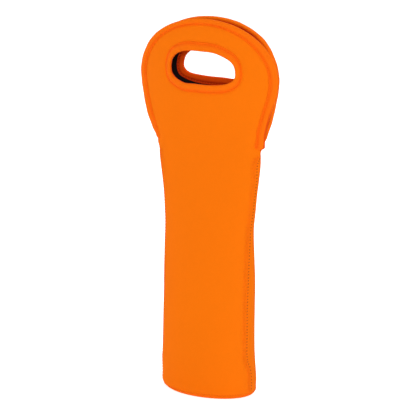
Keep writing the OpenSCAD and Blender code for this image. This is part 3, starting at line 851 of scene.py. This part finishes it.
def outer_jersey():
    """Nylon jersey bonded to foam, piece dyed orange: matt, with a short nap that catches light at the edges.
    Its wales are 0.6 mm in the real cloth and drawn at 1.6 mm, so that they can show."""
    material, tree = new_material("piece_dyed_nylon_jersey")
    height = jersey_height(tree)
    place = add(tree, "ShaderNodeTexCoord", out="Object")
    cloud, fleck = (add(tree, "ShaderNodeTexNoise", {"Vector": place, "Scale": scale, "Detail": detail}, out="Fac")
                    for scale, detail in ((14.0, 3.0), (420.0, 2.0)))
    colour = add(tree, "ShaderNodeMix", {"Factor": cloud, 6: linear("#fb7807"), 7: linear("#fa7508")}, **COLOURS)
    # The knit is painted lighter on its loops' tops and darker where they dip: painted shade; flecks at random
    shade = add(tree, "ShaderNodeMath", {0: height, 1: 0.05, 2: 0.955}, operation="MULTIPLY_ADD")
    shade = add(tree, "ShaderNodeMath", {0: fleck, 1: 0.04, 2: shade}, operation="MULTIPLY_ADD")
    hole = needle_holes(tree)
    colour = add(tree, "ShaderNodeVectorMath", {0: colour, "Scale": shade}, operation="SCALE")
    # The needle holes are painted dark: painted shade in them
    colour = add(tree, "ShaderNodeMix", {"Factor": hole, 6: colour, 7: linear("#b04616")}, **COLOURS)
    bump = add(tree, "ShaderNodeMath", {0: hole, 1: -1.5, 2: height}, operation="MULTIPLY_ADD")
    return finished(material, colour, bump, 0.35, 0.12, {
        "Roughness": 0.9, "Specular IOR Level": 0.05,
        "Sheen Weight": 0.02, "Sheen Roughness": 0.4, "Sheen Tint": linear("#ff9a50")})


def needle_holes(tree):
    """How deep the needle holes of the zigzag seams are and how much painted shade darkens them, from the
    distances that the panels carry. Where the zigzag is drawn up tight they join in a line."""
    across, step, foot, tight, depth = (
        add(tree, "ShaderNodeAttribute", attribute_name=name, out="Fac")
        for name in ("seam_across", "seam_along", "base_row", "tight", "hole_depth"))
    half = add(tree, "ShaderNodeMix", {"Factor": foot, 2: SIDE_ZIGZAG_W / 2 * MM, 3: BASE_ZIGZAG_W / 2 * MM})
    pitch = add(tree, "ShaderNodeMix", {"Factor": foot, 2: SIDE_PITCH * MM, 3: BASE_PITCH * MM})
    off = add(tree, "ShaderNodeMath", {0: across, 1: half}, operation="SUBTRACT")
    loose = add(tree, "ShaderNodeMath", {0: 1.0, 1: tight}, operation="SUBTRACT")
    for operation, value in (("DIVIDE", pitch), ("FRACT", 0), ("SUBTRACT", 0.5), ("MULTIPLY", pitch),
                             ("MULTIPLY", loose)):
        step = add(tree, "ShaderNodeMath", {0: step, 1: value}, operation=operation)
    far = add(tree, "ShaderNodeVectorMath", {0: add(tree, "ShaderNodeCombineXYZ", {"X": off, "Y": step})},
              out="Value", operation="LENGTH")
    return add(tree, "ShaderNodeMapRange", {"Value": far, 1: 0.0003, 2: 0.001, 3: depth, 4: 0.0})


def inner_jersey():
    """Black nylon jersey on the foam's inner side: matt and nearly unlit."""
    material, tree = new_material("black_nylon_jersey")
    height = jersey_height(tree)
    # Lighter on the loops' tops and darker where they dip: painted shade
    colour = add(tree, "ShaderNodeMix", {"Factor": height, 6: linear("#0a0406"), 7: linear("#140a0d")}, **COLOURS)
    return finished(material, colour, height, 0.4, 0.15, {
        "Roughness": 0.9, "Specular IOR Level": 0.2,
        "Sheen Weight": 0.05, "Sheen Roughness": 0.4, "Sheen Tint": linear("#8a6a70")})


def stretch_tape():
    """Woven stretch tape of nylon and elastane: smoother than the jersey and a little redder, with fine ribs
    across it every 1.2 mm. Where the stitches press it in, a redder, darker line is painted shade. Its inner
    leg, which faces the other handle, is painted redder, as painted shade with light bounced off the orange
    cloth, and a rim tape's inner leg and its cut edge over the right notch are painted darker red: painted shade."""
    material, tree = new_material("nylon_stretch_tape")
    place = add(tree, "ShaderNodeUVMap", uv_map="cloth")
    onward = add(tree, "ShaderNodeSeparateXYZ", {0: place}, out="X")
    rib = add(tree, "ShaderNodeMath", {0: onward, 1: 2 * math.pi / 0.0012}, operation="MULTIPLY")
    rib = add(tree, "ShaderNodeMath", {0: rib}, operation="SINE")
    tip, inside, deep = (add(tree, "ShaderNodeAttribute", attribute_name=name, out="Fac")
                         for name in ("from_tip", "inside", "deep"))
    # The line where the stitches press the tape in is painted redder and darker: painted shade
    off = add(tree, "ShaderNodeMath", {0: tip, 1: 0.0017}, operation="SUBTRACT")
    off = add(tree, "ShaderNodeMath", {0: off}, operation="ABSOLUTE")
    line = add(tree, "ShaderNodeMapRange", {"Value": off, 1: 0.0005, 2: 0.0024, 3: 1.0, 4: 0.0})
    cloud = add(tree, "ShaderNodeTexNoise", {"Vector": add(tree, "ShaderNodeTexCoord", out="Object"),
                                             "Scale": 60.0, "Detail": 2.0}, out="Fac")
    # Its colour is darker red on the inner leg, where the handles shade it more
    groove_shade = add(tree, "ShaderNodeMix", {"Factor": inside, 6: linear("#fd6701"), 7: linear("#d83000")}, **COLOURS)
    colour = linear("#fd7401")
    # Mixed in turn: random tone, then painted shade on the inner leg, on the stitch line, and where deep is set
    for share, other in ((cloud, linear("#fb6f02")), (inside, linear("#ff5602")), (line, groove_shade),
                         (deep, linear("#d82600"))):
        colour = add(tree, "ShaderNodeMix", {"Factor": share, 6: colour, 7: other}, **COLOURS)
    # The ribs are painted a little darker between them: painted shade
    shade = add(tree, "ShaderNodeMath", {0: rib, 1: 0.02, 2: 0.98}, operation="MULTIPLY_ADD")
    colour = add(tree, "ShaderNodeVectorMath", {0: colour, "Scale": shade}, operation="SCALE")
    return finished(material, colour, rib, 0.25, 0.06, {
        "Roughness": 0.75, "Specular IOR Level": 0.08,
        "Sheen Weight": 0.02, "Sheen Roughness": 0.35, "Sheen Tint": linear("#ff9a50")})


def sewing_thread():
    """Twisted polyester thread in the cloth's orange: two plies that wind round each other every 0.9 mm."""
    material, tree = new_material("twisted_polyester_thread")
    onward, around = (add(tree, "ShaderNodeAttribute", attribute_name=name, out="Fac")
                      for name in ("thread_along", "thread_round"))
    ply = add(tree, "ShaderNodeMath", {0: onward, 1: 1 / 0.0009, 2: around}, operation="MULTIPLY_ADD")
    ply = add(tree, "ShaderNodeMath", {0: ply, 1: 4 * math.pi}, operation="MULTIPLY")
    ply = add(tree, "ShaderNodeMath", {0: ply}, operation="SINE")
    # Lighter on each ply's crown and darker where the plies meet: painted shade
    share = add(tree, "ShaderNodeMath", {0: ply, 1: 0.5, 2: 0.5}, operation="MULTIPLY_ADD")
    colour = add(tree, "ShaderNodeMix", {"Factor": share, 6: linear("#f87004"), 7: linear("#fd7a07")}, **COLOURS)
    return finished(material, colour, ply, 0.5, 0.05, {"Roughness": 0.7, "Specular IOR Level": 0.1})


# Stage

def floor_paper():
    """White studio paper. The camera sees it a little lighter than it is lit, so that it is white all over
    and keeps the soft shadow."""
    material, tree = new_material("white_studio_paper")
    seen = add(tree, "ShaderNodeLightPath", out="Is Camera Ray")
    glow = add(tree, "ShaderNodeMath", {0: seen, 1: 0.5, 2: 0.28}, operation="MULTIPLY_ADD")
    matt = add(tree, "ShaderNodeBsdfDiffuse", {"Color": linear("#f4f4f4")})
    light = add(tree, "ShaderNodeEmission", {"Color": (1, 1, 1, 1), "Strength": glow})
    add(tree, "ShaderNodeOutputMaterial", {"Surface": add(tree, "ShaderNodeAddShader", {0: matt, 1: light})})
    return material


def make_stage():
    mesh = bpy.data.meshes.new("floor")
    mesh.from_pydata([(x, y, 0) for x, y in ((-6, -6), (6, -6), (6, 6), (-6, 6))], [], [(0, 1, 2, 3)])
    mesh.materials.append(floor_paper())
    floor = piece("floor", mesh)
    world = bpy.data.worlds.new("studio")
    bpy.context.scene.world = world
    world.use_nodes = True
    tree = world.node_tree
    tree.nodes.clear()
    seen = add(tree, "ShaderNodeLightPath", out="Is Camera Ray")
    for name in ("Is Glossy Ray", "Is Transmission Ray"):
        ray = add(tree, "ShaderNodeLightPath", out=name)
        seen = add(tree, "ShaderNodeMath", {0: seen, 1: ray}, operation="ADD", use_clamp=True)
    strength = add(tree, "ShaderNodeMapRange", {"Value": seen, 3: 0.23, 4: 1.0})
    sky = add(tree, "ShaderNodeBackground", {"Color": (1, 1, 1, 1), "Strength": strength})
    add(tree, "ShaderNodeOutputWorld", {"Surface": sky})
    # Square lamps that face the carrier: name, place, size and power
    for name, place, size, power in (("key_light", (0.9, -1.9, 1.25), 0.8, 19.6),
                                     ("left_light", (-1.9, -0.1, 0.7), 1.4, 13.6),
                                     ("right_light", (1.9, -0.4, 0.7), 1.4, 4.5),
                                     ("top_light", (0.1, -0.4, 1.9), 0.7, 5.8),
                                     ("back_light", (0.4, 1.4, 1.6), 1.0, 16)):
        lamp = piece(name, bpy.data.lights.new(name, "AREA"))
        lamp.data.size, lamp.data.energy = size, power
        lamp.location = place
        lamp.rotation_mode = "QUATERNION"
        lamp.rotation_quaternion = (Vector(place) - Vector((0, 0, 0.2))).to_track_quat("Z", "Y")


# The carrier

def dress(made, slot, *nodes):
    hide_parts(*nodes)


make_camera()
bpy.context.scene.view_settings.view_transform = "Standard"
knit, black_knit, tape_cloth, thread = outer_jersey(), inner_jersey(), stretch_tape(), sewing_thread()
stitches, threads = stitch_tree(), thread_tree()
NET = panel_net()

base_panel, base_lining = base(knit, black_knit)
for made, slot, node in ((base_panel, "outer_knit", "base_shell"), (base_lining, "inner_knit", "base_lining")):
    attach(made, "sleeve")
    dress(made, slot, node)

for side, name in NAMES.items():
    shell, lining = panel(side, knit, black_knit)
    rim, rim_rows = rim_tape(side, tape_cloth)
    grip, grip_rows = grip_tape(side, tape_cloth)
    sizes = {"Pitch": TAPE_PITCH * MM, "Length": STITCH_L * MM, "Crown": STITCH_CROWN * MM,
             "Thread": TAPE_THREAD * MM, "Material": thread}
    rim_stitches = sewn(f"{name}_rim_stitches", stitches, rim_rows, sizes)
    grip_stitches = sewn(f"{name}_grip_stitches", stitches, grip_rows, sizes)
    for made in (shell, lining, rim, rim_stitches):
        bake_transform(made)
    for made in (grip, grip_stitches):
        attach(made, f"{name}_handle")
    dress(shell, "outer_knit", f"{name}_sleeve_shell", f"{name}_handle_shell")
    dress(lining, "inner_knit", f"{name}_sleeve_lining", f"{name}_handle_lining")
    dress(rim, "binding_tape", f"{name}_rim_binding")
    dress(grip, "binding_tape", f"{name}_grip_binding")
    dress(rim_stitches, "seam_thread", f"{name}_rim_stitching")
    dress(grip_stitches, "seam_thread", f"{name}_grip_stitching")

for name, path, size in (("right_side_seam", side_zigzag(1), SIDE_THREAD),
                         ("left_side_seam", side_zigzag(-1), SIDE_THREAD), ("base_seam", base_zigzag(), BASE_THREAD)):
    made = sewn(f"{name}_thread", threads, [path], {"Thread": size * MM, "Material": thread})
    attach(made, "sleeve")
    dress(made, "seam_thread", name)

make_stage()
